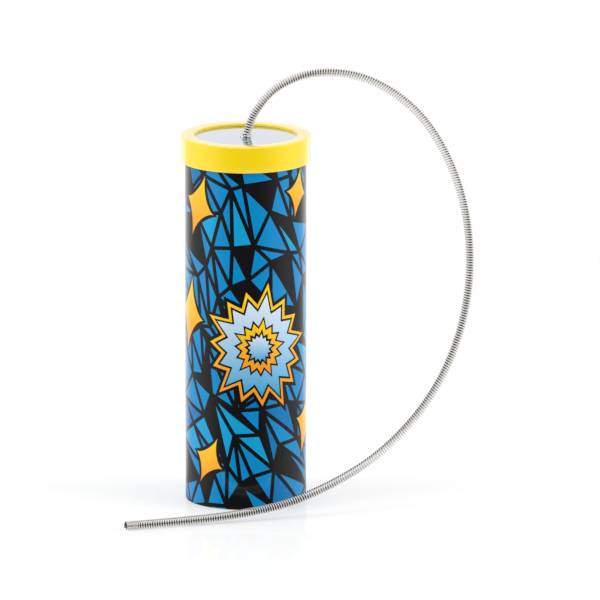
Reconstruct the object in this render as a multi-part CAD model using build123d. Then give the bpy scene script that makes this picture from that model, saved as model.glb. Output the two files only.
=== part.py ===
from build123d import *
import os

import numpy as np

# Thunder tube, in millimetres. The origin is the middle of the tube's open lower end, +Z runs up the
# tube to the drum face, and the spring's tail lies in front of the tube, towards -Y.

# Board tube
tube_od = 59.6
tube_wall = 2.4
tube_length = 182.6

# Printed paper round the tube
wrap_thickness = 0.2
wrap_foot_gap = 0.3  # the paper starts this far above the tube's lower end
wrap_tuck = 3.0  # and reaches this far under the collar's skirt, which is glued to bare board above
wrap_lap = 7.0  # width of the glued lap at the back

# Drum film
film_thickness = 0.25

# Moulded collar
ring_fit = 0.1  # between the paper's lap and the skirt
ring_wall = 1.8
ring_flange = 1.3  # thickness over the film's rim
ring_skirt = 11.7  # reach of the skirt below the tube's upper end
ring_opening = 51.0  # clear drum face
ring_edge = 0.7  # rounding of the outer edges
ring_lip_edge = 0.4  # rounding of the opening's edge

# What holds the spring in the film
washer_od = 14.0
washer_thickness = 1.0
plug_neck = 3.2  # diameter of the neck through washer and film
plug_fit = 0.05  # between neck and washer
plug_room = 0.3  # between neck and film, so that the film can flex
plug_dome = 9.0  # diameter of the dome under the washer
plug_depth = 2.5
bead_od = 5.8
bead_height = 1.1  # also the radius of its rounded edge

# Spring
spring_od = 4.4
spring_wire = 0.7
spring_turns = 96
spring_swing_gap = 0.35  # between the bead and the wire's end, so that the spring can swing
spring_floor_gap = 0.1  # between the lying tail and the floor
foot_straight = spring_wire  # straight run of wire at each end
foot_opening = 2.2  # height over which the wire opens from the axis to its first turn

# Heights that follow from the sizes above
film_top = tube_length + film_thickness
ring_top = film_top + ring_flange
skirt_end = tube_length - ring_skirt
foot_height = film_top + bead_height + spring_swing_gap
tail_height = spring_od / 2 + spring_floor_gap

# Route of the spring's axis. The rise gives x, y and the height above the foot.
# The fall gives x, y and the share of the drop from the foot to the lying tail.
spring_rise = [
    (0, 0, 0),
    (0, 0, 4),
    (5, 0.3, 12.9),
    (15, 1.5, 24.1),
    (34, 3.5, 31.4),
    (60.5, 5.5, 28.2),
    (86, 6, 10.8),
]
spring_fall = [
    (102, 4.5, 0.0837),
    (110.5, 1.5, 0.2427),
    (111.5, -4.5, 0.4131),
    (104.5, -11, 0.5827),
    (90, -19, 0.7305),
    (68.5, -27, 0.852),
    (47, -35, 0.9233),
    (22, -46, 0.974),
    (-4.5, -58, 0.991),
    (-34, -66, 1),
    (-59, -73, 1),
]

# Fineness of the measured lines
axis_steps = 200  # points on each parabola of the axis
axis_reach = 0.5  # millimetres each way for the axis's direction
turn_reach = 0.01  # turns each way for the wire's direction
arcs_per_turn = 2  # pairs of arcs
arcs_per_section = 3  # arcs round the wire's section
gap_samples = 5  # points on each arc when the wire's gap to itself is measured


def cylinder(diameter, low, high):
    """Upright cylinder between two heights."""
    return Pos(0, 0, low) * Cylinder(diameter / 2, high - low, align=(Align.CENTER, Align.CENTER, Align.MIN))


def turned(*outline):
    """Solid of revolution about Z from a closed outline in reach from the axis and height."""
    return revolve(Plane.XZ * make_face(outline), Axis.Z)


def make_tube_shell():
    return cylinder(tube_od, 0, tube_length) - cylinder(tube_od - 2 * tube_wall, 0, tube_length)


def make_printed_wrap():
    """One turn of paper, with the lap's second layer standing proud at the back."""
    low = wrap_foot_gap
    high = skirt_end + wrap_tuck
    layer_od = tube_od + 2 * wrap_thickness
    lap_od = layer_od + 2 * wrap_thickness
    layer = cylinder(layer_od, low, high) - cylinder(tube_od, low, high)
    lap_box = Pos(0, tube_od / 2, (low + high) / 2) * Box(wrap_lap, tube_od, high - low)
    lap = (cylinder(lap_od, low, high) - cylinder(layer_od, low, high)) & lap_box
    return layer + lap


def make_drum_head():
    hole = plug_neck + 2 * plug_room
    return cylinder(tube_od, tube_length, film_top) - cylinder(hole, tube_length, film_top)


def make_head_ring():
    """Skirt round the papered tube and a flange over the film's rim."""
    skirt_id = tube_od + 4 * wrap_thickness + 2 * ring_fit
    ring_od = skirt_id + 2 * ring_wall
    body = cylinder(ring_od, skirt_end, ring_top)
    body = fillet(body.edges().filter_by(GeomType.CIRCLE), min(ring_edge, 0.45 * ring_wall))
    opening = cylinder(ring_opening, film_top, ring_top)
    body = body - cylinder(skirt_id, skirt_end, film_top) - opening
    lip = body.edges().filter_by(GeomType.CIRCLE).group_by(Axis.Z)[-1].sort_by(SortBy.RADIUS)[0]
    return fillet(lip, min(ring_lip_edge, 0.45 * ring_flange))


def make_backing_washer():
    low = tube_length - washer_thickness
    hole = plug_neck + 2 * plug_fit
    return cylinder(washer_od, low, tube_length) - cylinder(hole, low, tube_length)


def make_anchor_plug():
    """Dome of glue under the washer, with a neck up to the film's upper face."""
    washer_low = tube_length - washer_thickness
    bottom = washer_low - plug_depth
    dome_reach = plug_dome / 2
    neck_reach = plug_neck / 2
    dome_radius = (dome_reach**2 + plug_depth**2) / (2 * plug_depth)
    dome = RadiusArc((0, bottom), (dome_reach, washer_low), -dome_radius)
    shoulder = Polyline((dome_reach, washer_low), (neck_reach, washer_low), (neck_reach, film_top))
    inside = Polyline((neck_reach, film_top), (0, film_top), (0, bottom))
    return turned(dome, shoulder, inside)


def make_foot_bead():
    """Low bead of glue on the film, flat on top where the wire's end meets it."""
    top = film_top + bead_height
    reach = bead_od / 2
    flat = reach - bead_height
    return turned(
        TangentArc((reach, film_top), (flat, top), tangent=(0, 1)),
        Polyline((flat, top), (0, top), (0, film_top), (reach, film_top)),
    )


def spring_axis():
    """Points along the axis and the length up to each: one parabola for each inner point of the route,
    joined to the next halfway along the run between them."""
    drop = foot_height - tail_height
    rise = [(x, y, foot_height + up) for x, y, up in spring_rise]
    fall = [(x, y, foot_height - share * drop) for x, y, share in spring_fall]
    corners = np.array(rise + fall, float)
    joins = (corners[:-1] + corners[1:]) / 2
    joins[0] = corners[0]
    joins[-1] = corners[-1]
    t = np.linspace(0, 1, axis_steps, endpoint=False)[:, None]
    spans = [
        (1 - t) ** 2 * start + 2 * t * (1 - t) * corner + t**2 * end
        for start, corner, end in zip(joins[:-1], corners[1:-1], joins[1:])
    ]
    points = np.vstack(spans + [joins[-1:]])
    runs = np.linalg.norm(np.diff(points, axis=0), axis=1)
    return points, np.concatenate([[0], np.cumsum(runs)])


def unit(vector):
    return vector / np.linalg.norm(vector)


class SpringWire:
    """Centre line of the wire: turns round the axis, with the first turn opening out from it."""

    def __init__(self):
        self.points, self.lengths = spring_axis()
        self.reach = (spring_od - spring_wire) / 2
        self.first = foot_straight + foot_opening
        self.pitch = (self.lengths[-1] - self.first) / spring_turns

    def on_axis(self, length):
        return np.array([np.interp(length, self.lengths, self.points[:, k]) for k in range(3)])

    def along_axis(self, length):
        low = max(length - axis_reach, 0)
        high = min(length + axis_reach, self.lengths[-1])
        return unit(self.on_axis(high) - self.on_axis(low))

    def on_turn(self, turn):
        """Place after so many turns, counted from where the wire has opened out."""
        length = self.first + turn * self.pitch
        ahead = self.along_axis(length)
        back = unit(np.array([0, 1, 0]) - ahead[1] * ahead)
        side = np.cross(ahead, back)
        angle = 2 * np.pi * turn
        return self.on_axis(length) + self.reach * (np.cos(angle) * back + np.sin(angle) * side)

    def along_turn(self, turn):
        low = max(turn - turn_reach, 0)
        high = min(turn + turn_reach, spring_turns)
        return unit(self.on_turn(high) - self.on_turn(low))


def biarc(start, start_way, end, end_way):
    """Two arcs from start to end that leave and arrive along the given ways and meet smoothly."""
    across = end - start
    ways = start_way + end_way
    a = 2 * (start_way @ end_way - 1)
    b = -2 * across @ ways
    c = across @ across
    reach = (-b - np.sqrt(b * b - 4 * a * c)) / (2 * a)
    middle = (start + reach * start_way + end - reach * end_way) / 2
    first = Edge.make_tangent_arc(Vector(*start), Vector(*start_way), Vector(*middle))
    second = Edge.make_tangent_arc(Vector(*middle), first % 1, Vector(*end))
    return [first, second]


def make_spring():
    wire = SpringWire()
    steps = np.linspace(0, spring_turns, spring_turns * arcs_per_turn + 1)
    places = [wire.on_axis(foot_straight)] + [wire.on_turn(turn) for turn in steps]
    ways = [wire.along_axis(0)] + [wire.along_turn(turn) for turn in steps]
    edges = [Edge.make_line(Vector(*wire.on_axis(0)), Vector(*places[0]))]
    for start, start_way, end, end_way in zip(places[:-1], ways[:-1], places[1:], ways[1:]):
        edges += biarc(start, start_way, end, end_way)
    edges.append(Edge.make_line(Vector(*places[-1]), Vector(*(places[-1] + foot_straight * ways[-1]))))
    path = Wire(edges)
    span = 360 / arcs_per_section
    round_wire = [CenterArc((0, 0), spring_wire / 2, span * k, span) for k in range(arcs_per_section)]
    section = Plane(origin=path @ 0, z_dir=path % 0) * make_face(round_wire)
    print_wire(edges, path, wire)
    return sweep(section, path=path)


def print_wire(edges, path, wire):
    """Prints the wire's length, its tightest arc and its least gap to itself, measured on points."""
    arcs = [edge for edge in edges if edge.geom_type == GeomType.CIRCLE]
    samples = np.array([tuple(edge @ (k / gap_samples)) for edge in edges for k in range(gap_samples)])
    per_turn = 2 * arcs_per_turn * gap_samples
    order = np.arange(len(samples))
    apart = np.linalg.norm(samples[:, None] - samples[None], axis=2)
    apart[np.abs(order[:, None] - order[None]) < per_turn / 2] = np.inf
    print("spring axis length", round(float(wire.lengths[-1]), 1), "pitch", round(float(wire.pitch), 2))
    by_section = path.length * np.pi * spring_wire**2 / 4
    print("wire length", round(path.length, 1), "volume by section", round(by_section, 1))
    print("tightest arc", round(min(arc.radius for arc in arcs), 2))
    print("least gap of the wire to itself", round(float(apart.min()) - spring_wire, 2))


makers = {
    "tube_shell": make_tube_shell,
    "printed_wrap": make_printed_wrap,
    "head_ring": make_head_ring,
    "drum_head": make_drum_head,
    "backing_washer": make_backing_washer,
    "anchor_plug": make_anchor_plug,
    "foot_bead": make_foot_bead,
    "spring": make_spring,
}

os.makedirs("parts", exist_ok=True)
for name, maker in makers.items():
    solid = maker()
    export_step(solid, f"parts/{name}.step")
    print(name, "volume", round(solid.volume, 1))
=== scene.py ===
import math

import bpy
import numpy as np
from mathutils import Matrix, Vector
from mathutils.geometry import delaunay_2d_cdt


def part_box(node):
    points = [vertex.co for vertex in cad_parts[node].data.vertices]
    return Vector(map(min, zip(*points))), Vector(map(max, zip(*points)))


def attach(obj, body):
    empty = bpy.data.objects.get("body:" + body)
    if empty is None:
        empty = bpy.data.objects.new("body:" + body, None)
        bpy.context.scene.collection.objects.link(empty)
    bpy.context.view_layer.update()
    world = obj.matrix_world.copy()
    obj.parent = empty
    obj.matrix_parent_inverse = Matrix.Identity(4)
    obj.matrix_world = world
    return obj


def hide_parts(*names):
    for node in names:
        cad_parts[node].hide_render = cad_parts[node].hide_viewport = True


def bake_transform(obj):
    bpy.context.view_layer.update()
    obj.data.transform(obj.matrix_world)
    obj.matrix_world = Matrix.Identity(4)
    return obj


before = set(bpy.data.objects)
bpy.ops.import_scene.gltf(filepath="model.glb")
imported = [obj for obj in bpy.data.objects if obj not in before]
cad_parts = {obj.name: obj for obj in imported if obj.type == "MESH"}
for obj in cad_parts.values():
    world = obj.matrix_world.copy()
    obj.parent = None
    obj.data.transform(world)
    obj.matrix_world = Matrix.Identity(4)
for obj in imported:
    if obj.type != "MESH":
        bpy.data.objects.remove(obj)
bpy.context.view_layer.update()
scene = bpy.context.scene

mm = 0.001

# places that the pieces share, from the frame
tubeLow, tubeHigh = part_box("tube_shell")
wrapLow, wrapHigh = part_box("printed_wrap")
ringLow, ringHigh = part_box("head_ring")
filmLow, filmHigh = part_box("drum_head")
washerLow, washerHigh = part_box("backing_washer")
plugLow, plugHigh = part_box("anchor_plug")
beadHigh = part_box("foot_bead")[1]
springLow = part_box("spring")[0]


# Mesh helpers

# one smooth-shaded object, from rows of points and lists of corners
def meshPiece(name, points, faces):
    mesh = bpy.data.meshes.new(name)
    mesh.from_pydata(points.reshape(-1, 3).tolist(), [], faces)
    mesh.polygons.foreach_set("use_smooth", np.ones(len(mesh.polygons), bool))
    mesh.update()
    piece = bpy.data.objects.new(name, mesh)
    scene.collection.objects.link(piece)
    print("piece", name, len(mesh.polygons), "faces")
    return piece


def sharpen(piece, degrees):
    piece.data.set_sharp_from_angle(angle=math.radians(degrees))


# rows divided by their own lengths
def unit(rows):
    return rows / np.linalg.norm(rows, axis=-1, keepdims=True)


# 3 s^2 - 2 s^3, with s held between 0 and 1
def smoothStep(value):
    share = np.clip(value, 0, 1)
    return share * share * (3 - 2 * share)


# angles of evenly spaced columns, all the way round
def roundAngles(columns):
    return np.arange(columns) * 2 * np.pi / columns


# turns flat rows by an angle: row @ flatTurn(a) is (u cos a - v sin a, u sin a + v cos a)
def flatTurn(angle):
    return np.array([[math.cos(angle), math.sin(angle)], [-math.sin(angle), math.cos(angle)]])


# quads between the rows of a grid whose columns go all the way round; the rows close too in a loop
def roundQuads(rows, columns, loop):
    row = np.arange(rows if loop else rows - 1)[:, None]
    column = np.arange(columns)[None]
    nextRow = (row + 1) % rows
    nextColumn = (column + 1) % columns
    corners = [(row, column), (row, nextColumn), (nextRow, nextColumn), (nextRow, column)]
    return np.stack([r * columns + c for r, c in corners], -1).reshape(-1, 4).tolist()


# surface of revolution: the point at reach r, height z and angle a is (r cos a, r sin a, z)
def turned(name, reach, height, loop):
    rows, columns = reach.shape
    angle = roundAngles(columns)
    points = np.stack([reach * np.cos(angle), reach * np.sin(angle), height], -1).reshape(-1, 3)
    faces = roundQuads(rows, columns, loop)
    if not loop:  # the first and last rows are closed by a point each, on the axis
        column = np.arange(columns)
        after = (column + 1) % columns
        top = (rows - 1) * columns
        foot = rows * columns
        faces += np.stack([np.full(columns, foot), after, column], -1).tolist()
        faces += np.stack([np.full(columns, foot + 1), top + column, top + after], -1).tolist()
        ends = np.array([[0, 0, height[0].mean()], [0, 0, height[-1].mean()]])
        points = np.vstack([points, ends])
    return meshPiece(name, points, faces)


# a closed outline whose corners (reach, height, radius) are replaced by arcs that touch both sides
def roundedOutline(corners, steps=6):
    arcs = []
    share = np.linspace(0, 1, steps)
    for k, (reach, height, radius) in enumerate(corners):
        here = np.array([reach, height])
        back = unit(np.array(corners[k - 1][:2]) - here)
        ahead = unit(np.array(corners[(k + 1) % len(corners)][:2]) - here)
        half = math.acos(np.clip(back @ ahead, -1, 1)) / 2
        middle = here + unit(back + ahead) * radius / math.sin(half)
        start = here + back * radius / math.tan(half) - middle
        end = here + ahead * radius / math.tan(half) - middle
        first = math.atan2(start[1], start[0])
        sweep = (math.atan2(end[1], end[0]) - first + np.pi) % (2 * np.pi) - np.pi
        angle = first + share * sweep
        arcs.append(middle + radius * np.stack([np.cos(angle), np.sin(angle)], -1))
    return np.vstack(arcs)


# a rounded outline carried round the axis
def turnedOutline(name, corners, columns):
    outline = roundedOutline(corners)
    grid = np.ones((len(outline), columns))
    return turned(name, outline[:, :1] * grid, outline[:, 1:] * grid, True)


# Material helpers

vectorSocket, floatSocket, colourSocket = "NodeSocketVector", "NodeSocketFloat", "NodeSocketColor"
plainWhite = (1, 1, 1, 1)


# a node whose inputs are linked where a socket is given, and set where a value is
def addNode(tree, kind, inputs=None, **settings):
    node = tree.nodes.new(kind)
    for key, value in settings.items():
        setattr(node, key, value)
    for key, value in (inputs or {}).items():
        if isinstance(value, bpy.types.NodeSocket):
            tree.links.new(value, node.inputs[key])
        else:
            node.inputs[key].default_value = value
    return node


def math2(tree, operation, a, b=0.0):
    return addNode(tree, "ShaderNodeMath", {0: a, 1: b}, operation=operation).outputs[0]


# a (1 - share) + b share
def mixColours(tree, share, a, b):
    node = addNode(tree, "ShaderNodeMix", data_type="RGBA")
    for key, value in (("Factor_Float", share), ("A_Color", a), ("B_Color", b)):
        socket = next(s for s in node.inputs if s.identifier == key)
        if isinstance(value, bpy.types.NodeSocket):
            tree.links.new(value, socket)
        else:
            socket.default_value = value
    return next(s for s in node.outputs if s.identifier == "Result_Color")


def mixShaders(tree, share, a, b):
    return addNode(tree, "ShaderNodeMixShader", {0: share, 1: a, 2: b}).outputs[0]


# smooth step from low to high, carried to the range from toLow to toHigh
def ramp(tree, value, low, high, toLow=0.0, toHigh=1.0):
    inputs = {"Value": value, "From Min": low, "From Max": high, "To Min": toLow, "To Max": toHigh}
    return addNode(tree, "ShaderNodeMapRange", inputs, interpolation_type="SMOOTHSTEP").outputs[0]


def noise(tree, place, scale, detail):
    inputs = {"Vector": place, "Scale": scale, "Detail": detail}
    return addNode(tree, "ShaderNodeTexNoise", inputs).outputs["Fac"]


def bump(tree, shader, height, distance, strength=1.0):
    node = addNode(tree, "ShaderNodeBump", {"Height": height, "Distance": distance, "Strength": strength})
    tree.links.new(node.outputs[0], shader.inputs["Normal"])


# a material on object coordinates, with the plain socket values that a piece's look gives
def newMaterial(name, look):
    material = bpy.data.materials.new(name)
    material.use_nodes = True
    tree = material.node_tree
    shader = tree.nodes["Principled BSDF"]
    for key, value in look.get("sockets", {}).items():
        shader.inputs[key].default_value = value
    place = addNode(tree, "ShaderNodeTexCoord").outputs["Object"]
    return material, tree, shader, place


def newGroup(name, inputs, outputs):
    group = bpy.data.node_groups.new(name, "ShaderNodeTree")
    for socketName, kind in inputs:
        group.interface.new_socket(socketName, in_out="INPUT", socket_type=kind)
    for socketName, kind in outputs:
        group.interface.new_socket(socketName, in_out="OUTPUT", socket_type=kind)
    return group, addNode(group, "NodeGroupInput"), addNode(group, "NodeGroupOutput")


def useGroup(tree, group, inputs):
    return addNode(tree, "ShaderNodeGroup", inputs, node_tree=group).outputs


handling = {"cloudDetail": 4.0, "finer": 14.0, "fineDetail": 3.0, "scuffRange": (0.6, 0.78),
            "scuffShare": 0.5, "toneShare": 0.6}


# handling: roughness = gloss + change (cloud - 1/2 + scuffShare scuffs), where scuffs are the peaks of a
# finer noise, and the colour is multiplied by 1 + toneShare change (cloud - 1/2)
def makeHandling():
    sockets = [("Place", vectorSocket), ("Size", floatSocket), ("Colour", colourSocket),
               ("Gloss", floatSocket), ("Change", floatSocket)]
    results = [("Colour", colourSocket), ("Roughness", floatSocket), ("Height", floatSocket)]
    group, given, result = newGroup("handling", sockets, results)
    place, size, colour, gloss, change = (given.outputs[k] for k in range(len(sockets)))
    cloud = noise(group, place, size, handling["cloudDetail"])
    fine = noise(group, place, math2(group, "MULTIPLY", size, handling["finer"]), handling["fineDetail"])
    cloudy = math2(group, "MULTIPLY", math2(group, "SUBTRACT", cloud, 0.5), change)
    scuffs = math2(group, "MULTIPLY", ramp(group, fine, *handling["scuffRange"]), change)
    marks = math2(group, "ADD", cloudy, math2(group, "MULTIPLY", scuffs, handling["scuffShare"]))
    level = math2(group, "ADD", 1.0, math2(group, "MULTIPLY", cloudy, handling["toneShare"]))
    toned = addNode(group, "ShaderNodeVectorMath", {0: colour, 1: level}, operation="MULTIPLY").outputs[0]
    group.links.new(toned, result.inputs["Colour"])
    group.links.new(math2(group, "ADD", gloss, marks), result.inputs["Roughness"])
    group.links.new(fine, result.inputs["Height"])
    return group


# spiral: distance to a helix round Z, |fract(z / pitch + angle / turn) - 1/2| pitch, as a soft line
def makeSpiral():
    sockets = [("Place", vectorSocket), ("Pitch", floatSocket), ("Width", floatSocket)]
    group, given, result = newGroup("spiral", sockets, [("Line", floatSocket)])
    place, pitch, width = (given.outputs[k] for k in range(len(sockets)))
    axes = addNode(group, "ShaderNodeSeparateXYZ", {0: place}).outputs
    turn = math2(group, "DIVIDE", math2(group, "ARCTAN2", axes["Y"], axes["X"]), 2 * math.pi)
    strip = math2(group, "ADD", math2(group, "DIVIDE", axes["Z"], pitch), turn)
    away = math2(group, "ABSOLUTE", math2(group, "SUBTRACT", math2(group, "FRACT", strip), 0.5))
    line = ramp(group, math2(group, "MULTIPLY", away, pitch), 0.0, width, 1.0, 0.0)
    group.links.new(line, result.inputs["Line"])
    return group


handlingGroup = makeHandling()
spiralGroup = makeSpiral()


# roughness by the handling group, from a look's scale of clouds, its gloss and its change
def handle(tree, shader, place, look, colour):
    inputs = {"Place": place, "Size": look["clouds"], "Colour": colour, "Gloss": look["gloss"],
              "Change": look["change"]}
    handled = useGroup(tree, handlingGroup, inputs)
    tree.links.new(handled["Roughness"], shader.inputs["Roughness"])
    return handled


# one colour, handled, with the fine noise as its relief
def handledMaterial(name, look):
    material, tree, shader, place = newMaterial(name, look)
    handled = handle(tree, shader, place, look, look["colour"])
    tree.links.new(handled["Colour"], shader.inputs["Base Color"])
    bump(tree, shader, handled["Height"], look["relief"])
    return material


def finish(piece, material):
    piece.data.materials.append(material)


# Wound board tube
board = {
    "columns": 160, "edge": 0.25 * mm, "arcSteps": 4, "wall": 2.4 * mm, "rowStep": 0.8 * mm,
    "seamPitch": 62 * mm, "seamWidth": 0.9 * mm, "seamDepth": 0.12 * mm, "seamStops": 1 * mm,
    "colour": (0.36, 0.255, 0.155, 1), "clouds": 90.0, "gloss": 0.85, "change": 0.3,
    "fibres": 1800.0, "fibreDetail": 5.0, "fibreRange": (0.42, 0.66), "fibreColour": (0.47, 0.36, 0.245, 1),
    "ply": 0.6 * mm, "plyLine": 0.25, "plyShare": 0.45, "plyColour": (0.2, 0.135, 0.08, 1),
    "seamShare": 0.6, "seamColour": (0.17, 0.115, 0.07, 1), "relief": 0.05 * mm, "reliefShare": 0.6,
}


# brown board with paler fibres, a dark line at each ply of the cut rim and along the helical joint
def boardMaterial():
    material, tree, shader, place = newMaterial("woundBoard", board)
    handled = handle(tree, shader, place, board, board["colour"])
    fibre = noise(tree, place, board["fibres"], board["fibreDetail"])
    helix = {"Place": place, "Pitch": board["seamPitch"], "Width": board["seamWidth"]}
    seam = useGroup(tree, spiralGroup, helix)["Line"]
    axes = addNode(tree, "ShaderNodeSeparateXYZ", {0: place}).outputs
    level = addNode(tree, "ShaderNodeCombineXYZ", {"X": axes["X"], "Y": axes["Y"]}).outputs[0]
    reach = addNode(tree, "ShaderNodeVectorMath", {0: level}, operation="LENGTH").outputs["Value"]
    ply = math2(tree, "FRACT", math2(tree, "DIVIDE", reach, board["ply"]))
    pale = ramp(tree, fibre, *board["fibreRange"])
    fibred = mixColours(tree, pale, handled["Colour"], board["fibreColour"])
    dark = ramp(tree, ply, 0.0, board["plyLine"], board["plyShare"], 0.0)
    plied = mixColours(tree, dark, fibred, board["plyColour"])
    lined = mixColours(tree, math2(tree, "MULTIPLY", seam, board["seamShare"]), plied, board["seamColour"])
    tree.links.new(lined, shader.inputs["Base Color"])
    bump(tree, shader, fibre, board["relief"], board["reliefShare"])
    return material


# the inner wall has a shallow groove along the spiral group's helix, where strips of board meet
def makeBoardTube():
    outer = tubeHigh.x
    inner = outer - board["wall"]
    edge, pitch = board["edge"], board["seamPitch"]
    places = [(outer, tubeLow.z), (outer, tubeHigh.z), (inner, tubeHigh.z), (inner, tubeLow.z)]
    rims = roundedOutline([(reach, height, edge) for reach, height in places], board["arcSteps"])
    wallRows = int((tubeHigh.z - tubeLow.z) / board["rowStep"])
    wall = np.linspace(tubeHigh.z - edge, tubeLow.z + edge, wallRows + 1)[1:-1]
    walled = np.stack([np.full(len(wall), inner), wall], -1)
    lastArc = 3 * board["arcSteps"]
    outline = np.vstack([rims[:lastArc], walled, rims[lastArc:]])
    angle = roundAngles(board["columns"])
    reach = outline[:, :1] * np.ones(board["columns"])
    height = outline[:, 1:] * np.ones(board["columns"])
    away = np.abs((height / pitch + angle / (2 * np.pi)) % 1 - 0.5) * pitch
    groove = board["seamDepth"] * (1 - smoothStep(away / board["seamWidth"]))
    fromEnd = np.minimum(height - tubeLow.z, tubeHigh.z - height)
    onWall = np.isclose(reach, inner) & (fromEnd > board["seamStops"])
    tube = turned("board_tube", reach + onWall * groove, height, True)
    finish(tube, boardMaterial())
    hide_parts("tube_shell")
    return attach(tube, "tube")


makeBoardTube()

# Printed paper: a flat sheet of inked outlines, rolled round the tube and lapped at the back
paper = {
    "thickness": 0.2 * mm, "lap": 7 * mm, "rise": 1.6 * mm, "sharp": 40.0,
    "clouds": 60.0, "gloss": 0.09, "change": 0.06, "seamWidth": 1.6 * mm,
    "grain": 700.0, "grainDetail": 2.0, "grainShare": 0.25, "relief": 0.02 * mm,
    # the print is laid out flat in millimetres: across from the middle of the front, and up from the floor
    "foldStep": 2.0, "weld": 1e-4, "seed": 41, "bareInk": 0.7,
}
paperCore = {"colour": (0.74, 0.73, 0.7, 1), "clouds": 400.0, "gloss": 0.8, "change": 0.2,
             "relief": 0.03 * mm}
inks = {
    "ground": (0.0062, 0.0056, 0.0068),
    "blue": (0.001, 0.235, 0.53),
    "deep": (0.001, 0.17, 0.43),
    "sky": (0.004, 0.32, 0.61),
    "orange": (0.86, 0.27, 0.022),
    "yellow": (0.95, 0.6, 0.012),
    "ice": (0.7, 0.79, 0.88),
    "cyan": (0.006, 0.33, 0.6),
}
mosaic = {"cell": (10.5, 21.0), "shake": 0.4, "gap": 1.0, "leastRadius": 1.7, "tilt": 32.0,
          "shown": (0.97, 0.7), "shares": {"blue": 0.8, "deep": 0.1, "sky": 0.1}}
sparks = {"sizes": [(17, 11), (13, 9), (20, 12)], "outline": 1.8, "points": 48, "tilt": 0.6,
          "places": [(-27, 152), (31, 158), (-35, 96), (40, 40), (-20, 24), (62, 120), (90, 70), (-64, 138),
                     (-84, 30), (72, 18), (-90, 104)]}
# a burst's place is across, up, half width, half height and tilt
bursts = {"places": [(7, 82, 27, 31, 8), (-72, 84, 24, 28, -6)],
          "rays": 15, "tip": 0.95, "longTip": 1.08, "longEvery": 3, "notch": 0.72,
          "layers": [(1.12, "ground", "ground"), (1.0, "orange", "yellow"), (0.9, "ground", "ground"),
                     (0.83, "cyan", "ice"), (0.5, "ground", "ground"), (0.44, "orange", "yellow"),
                     (0.3, "ground", "ground"), (0.23, "cyan", "ice")]}


# triangles of a tilted, shaken lattice, each drawn in towards its incentre so that an even gap is left
def mosaicOutlines(draw, low, high):
    step = np.array(mosaic["cell"])
    half = np.ceil(np.linalg.norm(high - low) / 2 / step).astype(int) + 1
    spread = [np.arange(-n, n + 1) for n in half]
    lattice = np.stack(np.meshgrid(*spread, indexing="ij"), -1).astype(float)
    lattice = step * (lattice + draw.uniform(-mosaic["shake"], mosaic["shake"], lattice.shape))
    lattice = (low + high) / 2 + lattice @ flatTurn(math.radians(mosaic["tilt"]))
    a, b, c, d = lattice[:-1, :-1], lattice[1:, :-1], lattice[1:, 1:], lattice[:-1, 1:]
    turnedCell = draw.random(a.shape[:2])[..., None, None] < 0.5
    first = np.where(turnedCell, np.stack([a, b, c], -2), np.stack([a, b, d], -2))
    second = np.where(turnedCell, np.stack([a, c, d], -2), np.stack([b, c, d], -2))
    corners = np.concatenate([first.reshape(-1, 3, 2), second.reshape(-1, 3, 2)])
    sides = np.linalg.norm(np.roll(corners, -1, 1) - np.roll(corners, -2, 1), axis=-1, keepdims=True)
    around = sides.sum(1, keepdims=True)
    incentre = (corners * sides).sum(1, keepdims=True) / around
    legs = corners[:, 1:] - corners[:, :1]
    area = np.abs(legs[:, 0, 0] * legs[:, 1, 1] - legs[:, 0, 1] * legs[:, 1, 0]) / 2
    inRadius = 2 * area[:, None, None] / around
    drawnIn = incentre + (corners - incentre) * (1 - mosaic["gap"] / inRadius)
    names = list(mosaic["shares"])
    pick = draw.choice(len(names), len(corners), p=list(mosaic["shares"].values()))
    shown = draw.random(len(corners)) < np.repeat(mosaic["shown"], len(corners) // 2)
    shown &= inRadius[:, 0, 0] > mosaic["leastRadius"] * mosaic["gap"]
    middle = incentre[:, 0]
    shown &= np.all((middle > low - step) & (middle < high + step), 1)
    return [(drawnIn[k], names[pick[k]], names[pick[k]]) for k in np.flatnonzero(shown)]


# four-pointed spark, an astroid (a cos^3 t, b sin^3 t), turned, over a wider dark one
def sparkOutlines(draw):
    t = roundAngles(sparks["points"])
    outlines = []
    for k, place in enumerate(sparks["places"]):
        long, wide = sparks["sizes"][k % len(sparks["sizes"])]
        turn = flatTurn(draw.uniform(-sparks["tilt"], sparks["tilt"]))
        star = np.stack([wide * np.cos(t) ** 3, long * np.sin(t) ** 3], -1)
        rim = np.stack([np.cos(t), np.sin(t)], -1) * sparks["outline"]
        outlines.append(((star + rim) @ turn + place, "ground", "ground"))
        outlines.append((star @ turn + place, "orange", "yellow"))
    return outlines


# burst of rays: tips and notches by turns on two ellipses, with some rays longer, in layers of lesser sizes
def burstOutlines():
    count = 2 * bursts["rays"]
    corner = np.arange(count)
    t = roundAngles(count)
    tips = np.where(corner // 2 % bursts["longEvery"] == 0, bursts["longTip"], bursts["tip"])
    reach = np.where(corner % 2 == 0, tips, bursts["notch"])
    outlines = []
    for u, v, wide, tall, tilt in bursts["places"]:
        shape = np.stack([wide * reach * np.cos(t), tall * reach * np.sin(t)], -1)
        shape = shape @ flatTurn(math.radians(tilt))
        outlines += [(shape * size + (u, v), low, high) for size, low, high in bursts["layers"]]
    return outlines


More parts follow.
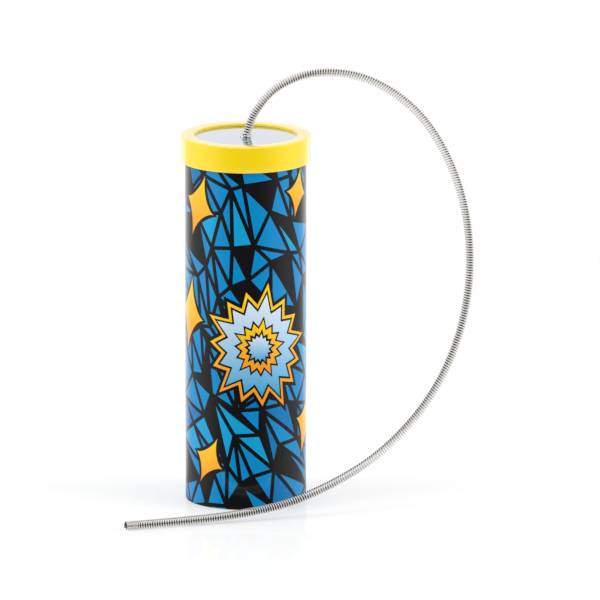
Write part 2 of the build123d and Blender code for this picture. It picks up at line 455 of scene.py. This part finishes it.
# cuts the flat sheet along every outline and every fold, and inks each triangle by the uppermost outline;
# the ink runs from its low to its high colour over the outline's height
def printedSheet(low, high):
    draw = np.random.default_rng(paper["seed"])
    border = np.array([low, (high[0], low[1]), high, (low[0], high[1])])
    outlines = [(border, "ground", "ground")] + mosaicOutlines(draw, low, high)
    outlines += sparkOutlines(draw) + burstOutlines()
    shapes, lowNames, highNames = zip(*outlines)
    sizes = [len(shape) for shape in shapes]
    starts = np.concatenate([[0], np.cumsum(sizes)])
    faces = [list(range(start, start + size)) for start, size in zip(starts, sizes)]
    folds = np.arange(low[0] + paper["foldStep"] / 2, high[0], paper["foldStep"])
    foldEnds = np.stack([np.repeat(folds, 2), np.tile([low[1], high[1]], len(folds))], -1)
    corners = [Vector(corner) for corner in np.vstack([*shapes, foldEnds])]
    edges = (starts[-1] + np.arange(2 * len(folds)).reshape(-1, 2)).tolist()
    insideOnly = 1  # the cut then keeps just the triangles that lie in an outline
    cut = delaunay_2d_cdt(corners, edges, faces, insideOnly, paper["weld"])
    flat = np.array([tuple(point) for point in cut[0]])
    cutFaces, liesIn = cut[2], cut[5]
    inSheet = [k for k, within in enumerate(liesIn) if 0 in within]
    triangles = np.array([cutFaces[k] for k in inSheet])
    upper = np.array([max(liesIn[k]) for k in inSheet])
    lowInk = np.array([inks[name] for name in lowNames])[upper][:, None]
    highInk = np.array([inks[name] for name in highNames])[upper][:, None]
    base = np.array([shape[:, 1].min() for shape in shapes])[upper][:, None]
    tall = np.array([np.ptp(shape[:, 1]) for shape in shapes])[upper][:, None]
    share = np.clip((flat[triangles][..., 1] - base) / tall, 0, 1)[..., None]
    used, renumbered = np.unique(triangles, return_inverse=True)
    return flat[used], renumbered.reshape(triangles.shape), lowInk + (highInk - lowInk) * share


# varnished ink with a fine grain, through which the board's helical joint shows faintly
def printMaterial():
    material, tree, shader, place = newMaterial("varnishedPrint", paper)
    ink = addNode(tree, "ShaderNodeVertexColor", layer_name="ink").outputs["Color"]
    handled = handle(tree, shader, place, paper, ink)
    tree.links.new(handled["Colour"], shader.inputs["Base Color"])
    helix = {"Place": place, "Pitch": board["seamPitch"], "Width": paper["seamWidth"]}
    seam = useGroup(tree, spiralGroup, helix)["Line"]
    grain = noise(tree, place, paper["grain"], paper["grainDetail"])
    relief = math2(tree, "ADD", math2(tree, "MULTIPLY", grain, paper["grainShare"]), seam)
    bump(tree, shader, relief, paper["relief"])
    return material


# rolled sheet: angle = u / radius, and the lap climbs by one thickness before it covers the first edge
def makeWrap():
    radius = wrapHigh.x
    half = np.pi * radius + paper["lap"] / 2
    low, high = np.array([-half, wrapLow.z]), np.array([half, wrapHigh.z])
    flat, triangles, colour = printedSheet(low / mm, high / mm)
    u, v = flat[:, 0] * mm, flat[:, 1] * mm
    climb = smoothStep((u - (half - paper["lap"] - paper["rise"])) / paper["rise"])
    angle = u / radius
    count = len(flat)

    def rolled(reach):
        return np.stack([reach * np.sin(angle), -reach * np.cos(angle), v], -1)

    outside = radius + climb * paper["thickness"]
    points = np.vstack([rolled(outside), rolled(outside - paper["thickness"])])
    sides = np.concatenate([triangles[:, [0, 1]], triangles[:, [1, 2]], triangles[:, [2, 0]]])
    key = sides.min(1) * count + sides.max(1)
    where, uses = np.unique(key, return_index=True, return_counts=True)[1:]
    rim = sides[where[uses == 1]]  # sides that one triangle uses are the sheet's edge
    rimQuads = np.stack([rim[:, 1], rim[:, 0], rim[:, 0] + count, rim[:, 1] + count], -1)
    faces = triangles.tolist() + (triangles[:, ::-1] + count).tolist() + rimQuads.tolist()
    wrap = meshPiece("paper_wrap", points, faces)
    bare = np.full((3 * len(triangles) + 4 * len(rim), 3), paper["bareInk"])
    corners = np.concatenate([colour.reshape(-1, 3), bare])
    inked = np.hstack([corners, np.ones((len(corners), 1))])
    ink = wrap.data.color_attributes.new("ink", "FLOAT_COLOR", "CORNER")
    ink.data.foreach_set("color", inked.astype(np.float32).ravel())
    sharpen(wrap, paper["sharp"])
    finish(wrap, printMaterial())
    wrap.data.materials.append(handledMaterial("paperCore", paperCore))
    material = np.ones(len(faces), np.int32)
    material[: len(triangles)] = 0
    wrap.data.polygons.foreach_set("material_index", material)
    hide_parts("printed_wrap")
    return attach(wrap, "tube")


makeWrap()

# Moulded collar
collar = {
    "columns": 256, "wall": 1.8 * mm, "opening": 25.5 * mm,
    "edge": 0.7 * mm, "lipEdge": 0.45 * mm, "innerEdge": 0.12 * mm, "skirtEdge": 0.4 * mm,
    "colour": (0.91, 0.665, 0.001, 1), "clouds": 70.0, "gloss": 0.09, "change": 0.05, "relief": 0.004 * mm,
    "sockets": {"Coat Weight": 1.0, "Coat Roughness": 0.1, "Coat IOR": 1.6},
}


# skirt round the tube and flange over the film's rim, as one turned outline
def makeCollar():
    outer = ringHigh.x
    skirt = outer - collar["wall"]
    corners = [
        (outer, ringLow.z, collar["edge"]),
        (outer, ringHigh.z, collar["edge"]),
        (collar["opening"], ringHigh.z, collar["lipEdge"]),
        (collar["opening"], filmHigh.z, collar["innerEdge"]),
        (skirt, filmHigh.z, collar["innerEdge"]),
        (skirt, ringLow.z, collar["skirtEdge"]),
    ]
    ring = turnedOutline("head_collar", corners, collar["columns"])
    finish(ring, handledMaterial("yellowPlastic", collar))
    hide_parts("head_ring")
    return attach(ring, "tube")


makeCollar()

# Drum film
film = {
    "columns": 192, "rows": 40, "hole": 1.9 * mm, "held": 7.0 * mm, "sharp": 40.0,
    "ripples": 11, "ripple": 0.006 * mm, "twist": 9,
    "colour": (0.65, 0.7, 0.765, 1), "clouds": 120.0, "gloss": 0.08, "change": 0.06, "relief": 0.004 * mm,
    "sockets": {"Metallic": 1.0},
}


# flat ring with faint radial ripples that die out at the rim and at the washer, swelling as sin(pi s)^2
# over the share s from the held reach to the rim
def makeFilm():
    rim, held, columns = collar["opening"], film["held"], np.ones(film["columns"])
    across = np.linspace(filmHigh.x, film["hole"], film["rows"])
    reach = np.concatenate([across, across[::-1]])[:, None] * columns
    level = np.repeat([filmHigh.z, filmLow.z], film["rows"])[:, None] * columns
    angle = roundAngles(film["columns"])
    inside = np.clip((reach - held) / (rim - held), 0, 1)
    swell = film["ripple"] * np.sin(np.pi * inside) ** 2
    height = level + swell * np.sin(film["ripples"] * angle + film["twist"] * inside)
    disc = turned("film_disc", reach, height, True)
    sharpen(disc, film["sharp"])
    finish(disc, handledMaterial("drumFilm", film))
    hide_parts("drum_head")
    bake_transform(disc)
    return disc


makeFilm()

# What holds the spring: washer and glue under the film, and a clear bead on top
washer = {"columns": 96, "hole": 1.65 * mm, "edge": 0.2 * mm, "colour": (0.03, 0.03, 0.032, 1),
          "clouds": 200.0, "gloss": 0.45, "change": 0.2, "relief": 0.02 * mm}
glue = {"columns": 96, "rows": 14, "tip": 0.12, "fullness": 0.8, "neck": 1.6 * mm, "lumps": 0.06,
        "sharp": 50.0, "colour": (0.62, 0.56, 0.43, 1), "clouds": 300.0,
        "gloss": 0.35, "change": 0.2, "relief": 0.03 * mm}
bead = {"columns": 96, "rows": 24, "top": 2.25 * mm, "climb": 0.25 * mm, "lift": 0.02 * mm, "hollow": 4,
        "uneven": 0.03, "sharp": 50.0, "waves": 900.0, "waveDetail": 2.0, "waveRange": (0.3, 0.8),
        "roughRange": (0.04, 0.16), "relief": 0.03 * mm,
        "sockets": {"Base Color": (0.72, 0.77, 0.77, 1), "Transmission Weight": 0.9, "IOR": 1.12}}


# clear glue, so thin on the coil that it bends light little, with a wavy skin
def beadMaterial():
    material, tree, shader, place = newMaterial("clearGlue", bead)
    wave = noise(tree, place, bead["waves"], bead["waveDetail"])
    tree.links.new(ramp(tree, wave, *bead["waveRange"], *bead["roughRange"]), shader.inputs["Roughness"])
    bump(tree, shader, wave, bead["relief"])
    return material


# flat ring under the film
def makeWasher():
    outer, hole, edge = washerHigh.x, washer["hole"], washer["edge"]
    corners = [(outer, washerLow.z, edge), (outer, washerHigh.z, edge),
               (hole, washerHigh.z, edge), (hole, washerLow.z, edge)]
    ring = turnedOutline("film_washer", corners, washer["columns"])
    finish(ring, handledMaterial("washerPlastic", washer))
    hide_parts("backing_washer")
    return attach(ring, "anchor")


# a dome of set glue, reach sin(s) and depth cos(s)^fullness over a quarter turn s, its reach cut by two
# waves round the axis, 1.2 + sin(3a + 0.7) + sin(5a) / 2, and a plain neck up through the film
def makeGlueDome():
    share = np.linspace(glue["tip"], 1, glue["rows"])[:, None]
    quarter = share * np.pi / 2
    angle = roundAngles(glue["columns"])
    wave = 1 - glue["lumps"] * (1.2 + np.sin(3 * angle + 0.7) + 0.5 * np.sin(5 * angle))
    domeReach = plugHigh.x * np.sin(quarter) * (1 + (wave - 1) * share)
    domeHeight = washerLow.z - (washerLow.z - plugLow.z) * np.cos(quarter) ** glue["fullness"] + 0 * angle
    neck = np.full((2, glue["columns"]), glue["neck"])
    neckHeight = np.array([[washerLow.z], [plugHigh.z]]) + 0 * angle
    dome = turned("glue_dome", np.vstack([domeReach, neck]), np.vstack([domeHeight, neckHeight]), False)
    sharpen(dome, glue["sharp"])
    finish(dome, handledMaterial("hotGlue", glue))
    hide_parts("anchor_plug")
    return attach(dome, "anchor")


# a low skirt of glue that climbs the spring's foot: reach = top + (spread - top) (1 - share)^hollow,
# where the spread changes a little round the axis
def makeBead():
    share = np.linspace(0, 1, bead["rows"])[:, None]
    angle = roundAngles(bead["columns"])
    spread = beadHigh.x * (1 - bead["uneven"] + bead["uneven"] * np.sin(2 * angle + 1))
    reach = bead["top"] + (spread - bead["top"]) * (1 - share) ** bead["hollow"]
    climb = beadHigh.z + bead["climb"] - filmHigh.z
    height = filmHigh.z + bead["lift"] + climb * share + 0 * angle
    piece = turned("clear_bead", reach, height, False)
    sharpen(piece, bead["sharp"])
    finish(piece, beadMaterial())
    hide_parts("foot_bead")
    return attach(piece, "foot")


makeWasher()
makeGlueDome()
makeBead()

# Spring
spring = {
    "wire": 0.7 * mm, "outside": 4.4 * mm, "swingGap": 0.35 * mm, "filmGap": 0.05 * mm,
    "pitch": 1.26 * mm, "closedPitch": 0.74 * mm, "closedFoot": 0.5 * mm, "opensFoot": 1.0 * mm,
    "closedTail": 5.2 * mm, "opensTail": 3.0 * mm, "bendsFrom": 1.5 * mm, "bendsTo": 60 * mm,
    "stepsPerTurn": 22, "sides": 8, "sharp": 60.0,
    "axisSteps": 300, "lengthSteps": 40000, "aimReach": 0.4 * mm,
    "colour": (0.8, 0.775, 0.75, 1), "clouds": 150.0, "gloss": 0.26, "change": 0.1,
    "scratches": (0.4, 30.0, 0), "scratchDetail": 3.0, "scratchRange": (0.5, 0.75), "scratchShare": 0.35,
    # inside is painted shade: the colour of the wire's side that faces into the coil, where the coil shades
    # itself
    "scratchColour": (0.45, 0.42, 0.39, 1), "inside": (0.15, 0.13, 0.113, 1), "paintedShadeRange": (0.12, 0.34),
    "sockets": {"Metallic": 1.0},
    # x, y and height above the foot
    "rise": [(0.0006, 0, 0), (0.0015, 0.0009, 0.0039), (0.0054, 0.0027, 0.0124), (0.015, 0.0035, 0.0236),
             (0.034, 0.0038, 0.0313), (0.0605, 0.0055, 0.0282), (0.086, 0.006, 0.0108)],
    # x, y and share of the drop from the foot to the lying tail
    "fall": [(0.102, 0.0045, 0.0837), (0.1105, 0.0015, 0.2427), (0.1115, -0.0045, 0.4131),
             (0.1045, -0.011, 0.5827), (0.09, -0.019, 0.7305), (0.0685, -0.027, 0.852),
             (0.047, -0.035, 0.9233), (0.022, -0.045, 0.9752), (-0.0045, -0.0552, 0.9943),
             (-0.034, -0.0648, 1), (-0.059, -0.0732, 1)],
}


# axis: a chain of parabolas (1-t)^2 a + 2 t (1-t) b + t^2 c, one for each inner point of the route,
# joined halfway along the runs, after a short straight start up from the film
def springAxis():
    foot = beadHigh.z + spring["swingGap"]
    tail = springLow.z + spring["outside"] / 2
    rise = [(x, y, foot + up) for x, y, up in spring["rise"]]
    fall = [(x, y, foot - share * (foot - tail)) for x, y, share in spring["fall"]]
    route = np.array(rise + fall)
    joins = (route[:-1] + route[1:]) / 2
    joins[0], joins[-1] = route[0], route[-1]
    t = np.linspace(0, 1, spring["axisSteps"], endpoint=False)[None, :, None]
    a, b, c = joins[:-1, None], route[1:-1, None], joins[1:, None]
    arcs = ((1 - t) ** 2 * a + 2 * t * (1 - t) * b + t ** 2 * c).reshape(-1, 3)
    start = np.array([[route[0, 0], route[0, 1], filmHigh.z + spring["wire"] / 2 + spring["filmGap"]]])
    points = np.vstack([start, arcs, route[-1:]])
    runs = np.linalg.norm(np.diff(points, axis=0), axis=1)
    return points, np.concatenate([[0], np.cumsum(runs)])


# wire: centre = axis + r (cos(turn) back + sin(turn) side), where the turns gain length / pitch along
# the axis and the pitch closes up at both ends
def springWire():
    points, lengths = springAxis()
    total = lengths[-1]
    length = np.linspace(0, total, spring["lengthSteps"])
    opening = smoothStep((length - spring["closedFoot"]) / spring["opensFoot"])
    opening *= smoothStep((total - spring["closedTail"] - length) / spring["opensTail"])
    pitch = spring["closedPitch"] + (spring["pitch"] - spring["closedPitch"]) * opening
    turns = np.concatenate([[0], np.cumsum(np.diff(length) / ((pitch[1:] + pitch[:-1]) / 2))])
    turn = np.linspace(0, turns[-1], int(turns[-1] * spring["stepsPerTurn"]))
    at = np.interp(turn, turns, length)

    def onAxis(along):
        return np.stack([np.interp(along, lengths, points[:, k]) for k in range(3)], -1)

    ahead = unit(onAxis(at + spring["aimReach"]) - onAxis(at - spring["aimReach"]))
    back = unit(np.array([0, 1, 0]) - ahead[:, 1:2] * ahead)
    side = np.cross(ahead, back)
    angle = (2 * np.pi * turn)[:, None]
    outward = np.cos(angle) * back + np.sin(angle) * side
    centre = onAxis(at) + outward * (spring["outside"] - spring["wire"]) / 2
    print("spring: axis", round(total / mm, 1), "mm,", round(float(turns[-1])), "turns")
    return centre, outward, at


# drawn steel: scratches along the wire, and painted shade, a dark colour on the side that faces into the
# coil, where the coil shades itself
def springMaterial():
    material, tree, shader, place = newMaterial("drawnSteel", spring)
    drawn = addNode(tree, "ShaderNodeUVMap", uv_map="along").outputs[0]
    stretch = {0: drawn, 1: spring["scratches"]}
    stretched = addNode(tree, "ShaderNodeVectorMath", stretch, operation="MULTIPLY").outputs[0]
    lines = noise(tree, stretched, 1.0, spring["scratchDetail"])
    handled = handle(tree, shader, place, spring, spring["colour"])
    scratch = ramp(tree, lines, *spring["scratchRange"], 0.0, spring["scratchShare"])
    scratched = mixColours(tree, scratch, handled["Colour"], spring["scratchColour"])
    # painted shade: the half of the wire's section that faces into the coil is turned to the dark inside
    # colour
    section = addNode(tree, "ShaderNodeSeparateXYZ", {0: drawn}).outputs["Y"]
    inward = math2(tree, "ABSOLUTE", math2(tree, "SUBTRACT", section, 0.5))
    paintedShade = ramp(tree, inward, *spring["paintedShadeRange"], 1.0, 0.0)
    withPaintedShade = mixColours(tree, paintedShade, scratched, spring["inside"])
    tree.links.new(withPaintedShade, shader.inputs["Base Color"])
    return material


# round section carried along the wire: centre + r (cos p outward + sin p across);
# the UV map runs along the wire in turns and round its section from 0 to 1
def makeSpring():
    centre, outward, at = springWire()
    ahead = unit(np.gradient(centre, axis=0))
    outward = unit(outward - (outward * ahead).sum(-1, keepdims=True) * ahead)
    across = np.cross(ahead, outward)
    sides = spring["sides"]
    p = roundAngles(sides)[None, :, None]
    ring = np.cos(p) * outward[:, None] + np.sin(p) * across[:, None]
    points = centre[:, None] + spring["wire"] / 2 * ring
    rows = len(centre)
    caps = [list(range(sides))[::-1], list(range((rows - 1) * sides, rows * sides))]
    quads = roundQuads(rows, sides, False)
    coil = meshPiece("spring_coil", points, quads + caps)
    sharpen(coil, spring["sharp"])
    row = np.repeat(np.arange(rows - 1), sides)[:, None] + np.array([0, 0, 1, 1])
    column = np.tile(np.arange(sides), rows - 1)[:, None] + np.array([0, 1, 1, 0])
    quadCorners = 4 * len(quads)
    along = np.zeros((quadCorners + 2 * sides, 2))
    along[:quadCorners] = np.stack([row / spring["stepsPerTurn"], column / sides], -1).reshape(-1, 2)
    uv = coil.data.uv_layers.new(name="along")
    uv.data.foreach_set("uv", along.astype(np.float32).ravel())
    finish(coil, springMaterial())
    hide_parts("spring")
    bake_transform(coil)
    return coil


makeSpring()

# Studio: white floor with a faint mirror image that fades towards the camera, soft light from all round
studio = {
    "floorReach": 6.0, "floor": (0.94, 0.94, 0.94, 1), "whiteRange": (0.1, 0.7), "whiteLeast": 0.45,
    "mirror": 0.1, "mirrorRough": 0.03, "mirrorRange": (-0.42, -0.03),
    # what reflections see of the floor from low down, by degrees from the front
    "lowRange": (0.5, 0.74), "dark": 0.03, "pale": 0.6, "paleRange": (18.0, 86.0),
    "rim": 0.55, "rimRises": (116.0, 146.0), "rimFades": (154.0, 178.0),
    "sky": 0.58, "aim": (0, 0, 0.1),
    # place, width and power
    "softboxes": {
        "left_softbox": ((-1.85, -0.45, 0.9), 1.4, 25.5),
        "right_softbox": ((1.85, -0.45, 0.9), 1.4, 25.5),
        "top_softbox": ((0.0, 0.3, 2.2), 1.6, 10.5),
        "back_softbox": ((0.0, 2.2, 0.75), 1.6, 6.5),
    },
}
camera = {"target": (0.02688, 0, 0.1001), "distance": 9.0, "elevation": 12.45, "frameWidth": 0.2975,
          "sensor": 36.0, "clip": (0.1, 100.0)}


def glow(tree, strength):
    return addNode(tree, "ShaderNodeEmission", {"Color": plainWhite, "Strength": strength}).outputs[0]


def rampDegrees(tree, angle, degrees, toLow, toHigh):
    low, high = (math.radians(d) for d in degrees)
    return ramp(tree, angle, low, high, toLow, toHigh)


# dark in front and pale at the sides, with a lit patch behind each side, by the angle atan2(x, -y),
# as a table mirrors a studio
def mirroredLevel(tree, axes):
    front = math2(tree, "MULTIPLY", axes["Y"], -1.0)
    turn = math2(tree, "ABSOLUTE", math2(tree, "ARCTAN2", axes["X"], front))
    level = rampDegrees(tree, turn, studio["paleRange"], studio["dark"], studio["pale"])
    rises = rampDegrees(tree, turn, studio["rimRises"], 0.0, studio["rim"])
    fades = rampDegrees(tree, turn, studio["rimFades"], 1.0, 0.0)
    return math2(tree, "ADD", level, math2(tree, "MULTIPLY", rises, fades))


# far off the floor is plain white, and from beneath it is clear; reflections see it as it is from above,
# and at the mirrored level from low down
def floorMaterial():
    material = bpy.data.materials.new("studioFloor")
    material.use_nodes = True
    tree = material.node_tree
    tree.nodes.clear()
    place = addNode(tree, "ShaderNodeTexCoord").outputs["Object"]
    axes = addNode(tree, "ShaderNodeSeparateXYZ", {0: place}).outputs
    far = addNode(tree, "ShaderNodeVectorMath", {0: place}, operation="LENGTH").outputs["Value"]
    matt = addNode(tree, "ShaderNodeBsdfDiffuse", {"Color": studio["floor"]}).outputs[0]
    whitened = ramp(tree, far, *studio["whiteRange"], studio["whiteLeast"], 1.0)
    plain = mixShaders(tree, whitened, matt, glow(tree, 1.0))
    polish = {"Color": plainWhite, "Roughness": studio["mirrorRough"]}
    mirror = addNode(tree, "ShaderNodeBsdfGlossy", polish).outputs[0]
    share = ramp(tree, axes["Y"], *studio["mirrorRange"], 0.0, studio["mirror"])
    polished = mixShaders(tree, share, plain, mirror)
    facing = addNode(tree, "ShaderNodeLayerWeight", {"Blend": 0.5}).outputs["Facing"]
    lowDown = ramp(tree, facing, *studio["lowRange"])
    glossy = addNode(tree, "ShaderNodeLightPath").outputs["Is Glossy Ray"]
    mirrored = glow(tree, mirroredLevel(tree, axes))
    upper = mixShaders(tree, math2(tree, "MULTIPLY", glossy, lowDown), polished, mirrored)
    clear = addNode(tree, "ShaderNodeBsdfTransparent").outputs[0]
    under = addNode(tree, "ShaderNodeNewGeometry").outputs["Backfacing"]
    addNode(tree, "ShaderNodeOutputMaterial", {"Surface": mixShaders(tree, under, upper, clear)})
    return material


def makeFloor():
    reach = studio["floorReach"]
    corners = np.array([[-reach, -reach, 0], [reach, -reach, 0], [reach, reach, 0], [-reach, reach, 0]])
    floor = meshPiece("studio_floor", corners, [[0, 1, 2, 3]])
    floor.data.materials.append(floorMaterial())


# white where the camera, reflections and glass see it, and dimmer as a light
def makeSky():
    world = bpy.data.worlds.new("studioSky")
    scene.world = world
    world.use_nodes = True
    tree = world.node_tree
    tree.nodes.clear()
    rays = addNode(tree, "ShaderNodeLightPath").outputs
    seen = math2(tree, "MAXIMUM", rays["Is Camera Ray"], rays["Is Glossy Ray"])
    seen = math2(tree, "MAXIMUM", seen, rays["Is Transmission Ray"])
    levels = {"Value": seen, "To Min": studio["sky"], "To Max": 1.0}
    strength = addNode(tree, "ShaderNodeMapRange", levels).outputs[0]
    sky = addNode(tree, "ShaderNodeBackground", {"Color": plainWhite, "Strength": strength})
    addNode(tree, "ShaderNodeOutputWorld", {"Surface": sky.outputs[0]})


def makeSoftbox(name, place, width, power):
    lamp = bpy.data.lights.new(name, "AREA")
    lamp.shape = "SQUARE"
    lamp.size = width
    lamp.energy = power
    box = bpy.data.objects.new(name, lamp)
    box.location = place
    box.rotation_mode = "QUATERNION"
    box.rotation_quaternion = (Vector(studio["aim"]) - Vector(place)).to_track_quat("-Z", "Y")
    box.visible_camera = False
    box.visible_glossy = False
    scene.collection.objects.link(box)


# far off with a long lens, looking at the target from its elevation: lens = sensor distance / frame width
def makeCamera():
    data = bpy.data.cameras.new("camera")
    data.sensor_width = camera["sensor"]
    data.lens = camera["sensor"] * camera["distance"] / camera["frameWidth"]
    data.clip_start, data.clip_end = camera["clip"]
    view = bpy.data.objects.new("camera", data)
    e = math.radians(camera["elevation"])
    back = Vector((0, -math.cos(e), math.sin(e)))
    view.location = Vector(camera["target"]) + camera["distance"] * back
    view.rotation_mode = "QUATERNION"
    view.rotation_quaternion = (-back).to_track_quat("-Z", "Y")
    scene.collection.objects.link(view)
    scene.camera = view


makeFloor()
makeSky()
for name, (place, width, power) in studio["softboxes"].items():
    makeSoftbox(name, place, width, power)
makeCamera()
scene.view_settings.view_transform = "Standard"
print("studio: floor, sky, four softboxes and camera")
